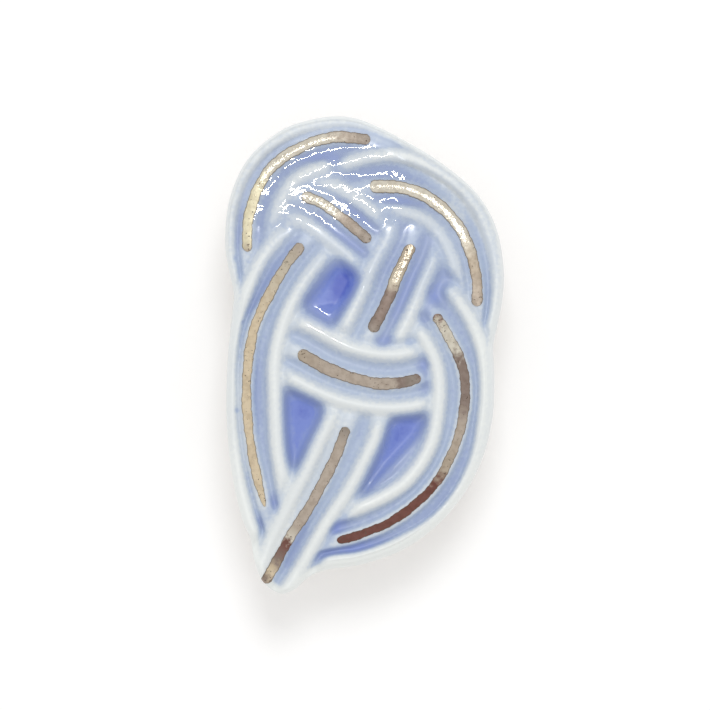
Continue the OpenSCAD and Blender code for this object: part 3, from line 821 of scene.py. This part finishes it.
# The colours along each stroke, by their places from 0 at its start to 1 at its end
STROKE_RUNS = {
    "upper_left": [
        (0.0, TAN), (0.06, CHAMPAGNE), (0.35, CHAMPAGNE), (0.45, PALE_AND_GLINT), (0.76, PALE_AND_GLINT), (0.88, STONE),
        (1.0, GREY),
    ],
    "upper_right": [(0.0, PALE_AND_GLINT), (0.6, PALE_AND_GLINT), (0.78, TAN), (1.0, STONE)],
    "inner_left": [(0.0, PALE_AND_GLINT), (0.45, PALE_AND_GLINT), (0.58, STONE), (1.0, GREY)],
    "inner_right": [(0.0, TAN), (0.45, PALE), (0.55, BROWN), (0.85, BROWN), (1.0, GREY)],
    "left_side": [(0.0, STONE), (0.1, PALE), (0.3, SAND), (1.0, SAND)],
    "right_side": [
        (0.0, RED), (0.04, PALE_AND_GLINT), (0.13, PALE_AND_GLINT), (0.18, BROWN), (0.33, BROWN), (0.38, STONE), (0.55, TAN),
        (0.62, RED), (1.0, RED),
    ],
    "middle": [(0.0, TAN), (0.25, STONE), (0.78, STONE), (0.85, BROWN), (0.93, GREY), (1.0, BROWN)],
    "tail": [
        (0.0, GREY), (0.1, STONE), (0.64, STONE), (0.7, PALE_AND_GLINT), (0.74, RED), (0.86, BROWN), (0.92, SAND),
        (1.0, BROWN),
    ],
}

# The part of each upper stroke that came out of the kiln smooth enough to glitter, on the same run.
# Where a part begins below 0, the very start of the stroke is smooth too.
POLISHED = {
    "upper_left": (0.32, 0.82),
    "upper_right": (-0.1, 0.64),
    "inner_left": (-0.1, 0.5),
    "inner_right": (-0.1, 0.42),
}
SMOOTH_LUSTRE, DULL_LUSTRE = 0.16, 0.45
POLISH_FADE = 0.03
COLOUR_DRIFT = 0.07
EDGE_FROM, WORN_FROM, WORN_BY = 0.4, 0.4, 0.07
PITS_FROM, PITS_TO = 0.68, 0.76
CLOUDED, EDGE_COLOUR = (0.84, 0.82, 0.8, 1), (0.17, 0.13, 0.1, 1)


def away(nodes, links, value, middle=0.5):
    """Distance of a UV value from a place on its run."""
    return combine(nodes, links, "ABSOLUTE", combine(nodes, links, "SUBTRACT", value, middle), 0.0)


def lustre(name, run):
    """A metal film whose colour runs along the stroke, dark at its edges and in its pits."""
    material, nodes, links, shader, uneven = finish_of(f"lustre_{name}")
    uneven.inputs["Patch Scale"].default_value = 1800.0
    uneven.inputs["Grain Scale"].default_value = 3400.0 if name in POLISHED else 5200.0
    uneven.inputs["Ripple"].default_value = 0.7
    uneven.inputs["Grain"].default_value = 1.6 if name in POLISHED else 0.6
    chart = nodes.new("ShaderNodeUVMap")
    apart = nodes.new("ShaderNodeSeparateXYZ")
    links.new(chart.outputs["UV"], apart.inputs["Vector"])
    way, across = apart.outputs["X"], apart.outputs["Y"]
    drift = remap(nodes, links, uneven.outputs["Patches"], 0.0, 1.0, -COLOUR_DRIFT, COLOUR_DRIFT)
    colours = ramp(nodes, run, smooth=False)
    run_place = combine(nodes, links, "ADD", way, drift)
    links.new(run_place, colours.inputs["Fac"])
    edge = remap(nodes, links, away(nodes, links, across), EDGE_FROM, 0.5)
    worn_ends = remap(nodes, links, away(nodes, links, way), WORN_FROM, 0.5, 0.0, WORN_BY)
    speckled = combine(nodes, links, "ADD", uneven.outputs["Specks"], worn_ends)
    pits = remap(nodes, links, speckled, PITS_FROM, PITS_TO)
    dark = combine(nodes, links, "MAXIMUM", edge, pits)
    cloudy = nodes.new("ShaderNodeMix")
    cloudy.data_type = "RGBA"
    cloudy.blend_type = "MULTIPLY"
    cloudy.inputs["B"].default_value = CLOUDED
    links.new(remap(nodes, links, uneven.outputs["Patches"], 0.4, 0.65), cloudy.inputs["Factor"])
    links.new(colours.outputs["Color"], cloudy.inputs["A"])
    shade = nodes.new("ShaderNodeMix")
    shade.data_type = "RGBA"
    shade.inputs["B"].default_value = EDGE_COLOUR
    links.new(dark, shade.inputs["Factor"])
    links.new(cloudy.outputs["Result"], shade.inputs["A"])
    links.new(shade.outputs["Result"], shader.inputs["Base Color"])
    links.new(uneven.outputs["Normal"], shader.inputs["Normal"])
    shader.inputs["Metallic"].default_value = 1.0
    shader.inputs["Roughness"].default_value = DULL_LUSTRE
    if name in POLISHED:
        first, last = POLISHED[name]
        half = (last - first) / 2
        from_smooth = away(nodes, links, run_place, (first + last) / 2)
        fade = (half - POLISH_FADE, half + POLISH_FADE)
        sheen = remap(nodes, links, from_smooth, *fade, SMOOTH_LUSTRE, DULL_LUSTRE)
        links.new(sheen, shader.inputs["Roughness"])
    return material


for name, obj in strokes.items():
    wear(obj, lustre(name, STROKE_RUNS[name]))
print("strokes dressed:", len(strokes))

# %% [markdown]
# The fitting on the back is a plain plate with two loops, stamped from sheet metal. The model's own
# piece has the right shape, so it only needs its finish: a satin metal with faint drawing marks.

# %% The cord fitting's metal
def satin_metal():
    """Drawn sheet metal, a little brighter in patches."""
    material, nodes, links, shader, uneven = finish_of("satin_metal")
    uneven.inputs["Patch Scale"].default_value = 300.0
    uneven.inputs["Grain Scale"].default_value = 2500.0
    uneven.inputs["Ripple"].default_value = 0.08
    uneven.inputs["Grain"].default_value = 0.15
    colours = ramp(nodes, [(0.3, (196, 194, 188)), (0.7, (214, 212, 207))], smooth=False)
    links.new(uneven.outputs["Patches"], colours.inputs["Fac"])
    links.new(colours.outputs["Color"], shader.inputs["Base Color"])
    links.new(uneven.outputs["Normal"], shader.inputs["Normal"])
    shader.inputs["Metallic"].default_value = 1.0
    shader.inputs["Roughness"].default_value = 0.32
    return material


wear(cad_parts["cord_fitting"], satin_metal())

# %% [markdown]
# The ornament lay on plain white paper. Overexposed paper shows no grey, which a diffuse white
# alone can't give, so the paper has a faint glow of its own.

# %% The paper
GLOW = 0.12
bpy.ops.object.select_all(action="DESELECT")
bpy.ops.mesh.primitive_plane_add(size=3)
paper = bpy.context.object
paper.name = "paper"


def paper_finish():
    """Smooth white paper that glows faintly."""
    material, nodes, links, shader, uneven = finish_of("white_paper")
    uneven.inputs["Patch Scale"].default_value = 20.0
    uneven.inputs["Grain Scale"].default_value = 800.0
    uneven.inputs["Ripple"].default_value = 0.0
    uneven.inputs["Grain"].default_value = 0.1
    colours = ramp(nodes, [(0.3, (248, 248, 248)), (0.7, (252, 252, 252))], smooth=False)
    links.new(uneven.outputs["Patches"], colours.inputs["Fac"])
    links.new(colours.outputs["Color"], shader.inputs["Base Color"])
    links.new(uneven.outputs["Normal"], shader.inputs["Normal"])
    shader.inputs["Roughness"].default_value = 0.8
    shader.inputs["Emission Color"].default_value = (1.0, 1.0, 1.0, 1)
    shader.inputs["Emission Strength"].default_value = GLOW
    return material


wear(paper, paper_finish())
print("the paper glows at", GLOW)

# %% [markdown]
# The light is soft daylight from beyond the top of the knot. A wide lamp gives it, with the soft
# shadow below the knot. A long thin lamp lights only the glaze, for its jagged highlights, and two
# small ones only the four upper strokes, for their glitter. One bright window could do all of
# that, but then its strength couldn't be set for each finish.

# %% The lights
THIN_LAMPS_AT = 0.58
ROOM_COLOUR, ROOM_STRENGTH = (1.0, 0.988, 0.978, 1), 0.76


def lamp(name, place, size, watts, colour=(1, 1, 1)):
    """A rectangular lamp that looks at the ornament."""
    light = bpy.data.lights.new(name, "AREA")
    light.shape = "RECTANGLE"
    light.size, light.size_y = size
    light.energy = watts
    light.color = colour
    obj = bpy.data.objects.new(name, light)
    bpy.context.scene.collection.objects.link(obj)
    obj.location = place
    towards = -obj.location.normalized()
    obj.rotation_euler = towards.to_track_quat("-Z", "Y").to_euler()
    return obj


window = lamp("window", (0.04, 0.45, 0.86), (0.35, 0.35), 2.5, (0.97, 0.985, 1.0))
window.visible_glossy = False
left_glint = lamp("left_glint", (-0.08, 0.09, THIN_LAMPS_AT), (0.08, 0.05), 0.06)
right_glint = lamp("right_glint", (0.14, 0.107, THIN_LAMPS_AT), (0.2, 0.065), 0.17)
pane = lamp("window_pane", (-0.035, 0.138, THIN_LAMPS_AT), (0.2, 0.019), 1.0)
glazed = bpy.data.collections.new("glazed pieces")
glazed.objects.link(porcelain)
pane.light_linking.receiver_collection = glazed
upper_strokes = bpy.data.collections.new("upper strokes")
for name in POLISHED:
    upper_strokes.objects.link(strokes[name])
for light in (left_glint, right_glint):
    light.light_linking.receiver_collection = upper_strokes
for light in (left_glint, right_glint, pane):
    light.visible_diffuse = False

world = bpy.data.worlds.new("pale room")
world.use_nodes = True
world.node_tree.nodes["Background"].inputs["Color"].default_value = ROOM_COLOUR
world.node_tree.nodes["Background"].inputs["Strength"].default_value = ROOM_STRENGTH
bpy.context.scene.world = world
bpy.context.scene.view_settings.view_transform = "Standard"
print("lamps:", [light.name for light in (window, left_glint, right_glint, pane)])

# %% [markdown]
# The photograph was taken from straight above, so the camera looks straight down. Its lens isn't
# guessed by eye: it follows from the photograph's scale at the height of the knot's rim.

# %% The camera
PHOTO_SIDE = 710
PIXELS_PER_MM = 10
OBJECT_MIDDLE_PX = (364.5, 355)
CAMERA_HEIGHT = 1.0
RIM_BELOW_CREST = 0.002
SENSOR = 36

camera_data = bpy.data.cameras.new("camera")
camera = bpy.data.objects.new("camera", camera_data)
bpy.context.scene.collection.objects.link(camera)
bpy.context.scene.camera = camera
camera.location = (
    (PHOTO_SIDE / 2 - OBJECT_MIDDLE_PX[0]) / PIXELS_PER_MM * MM,
    (OBJECT_MIDDLE_PX[1] - PHOTO_SIDE / 2) / PIXELS_PER_MM * MM,
    CAMERA_HEIGHT,
)
camera_data.sensor_width = SENSOR
face_distance = CAMERA_HEIGHT - cad_high.z + RIM_BELOW_CREST
camera_data.lens = SENSOR * face_distance / (PHOTO_SIDE / PIXELS_PER_MM * MM)
camera_data.clip_start = 0.01
print("lens in mm:", round(camera_data.lens, 1))

# %% [markdown]
# Last, the model's box is printed once more.

print("model's box in mm:", [round(v / MM, 2) for v in (*cad_low, *cad_high)])
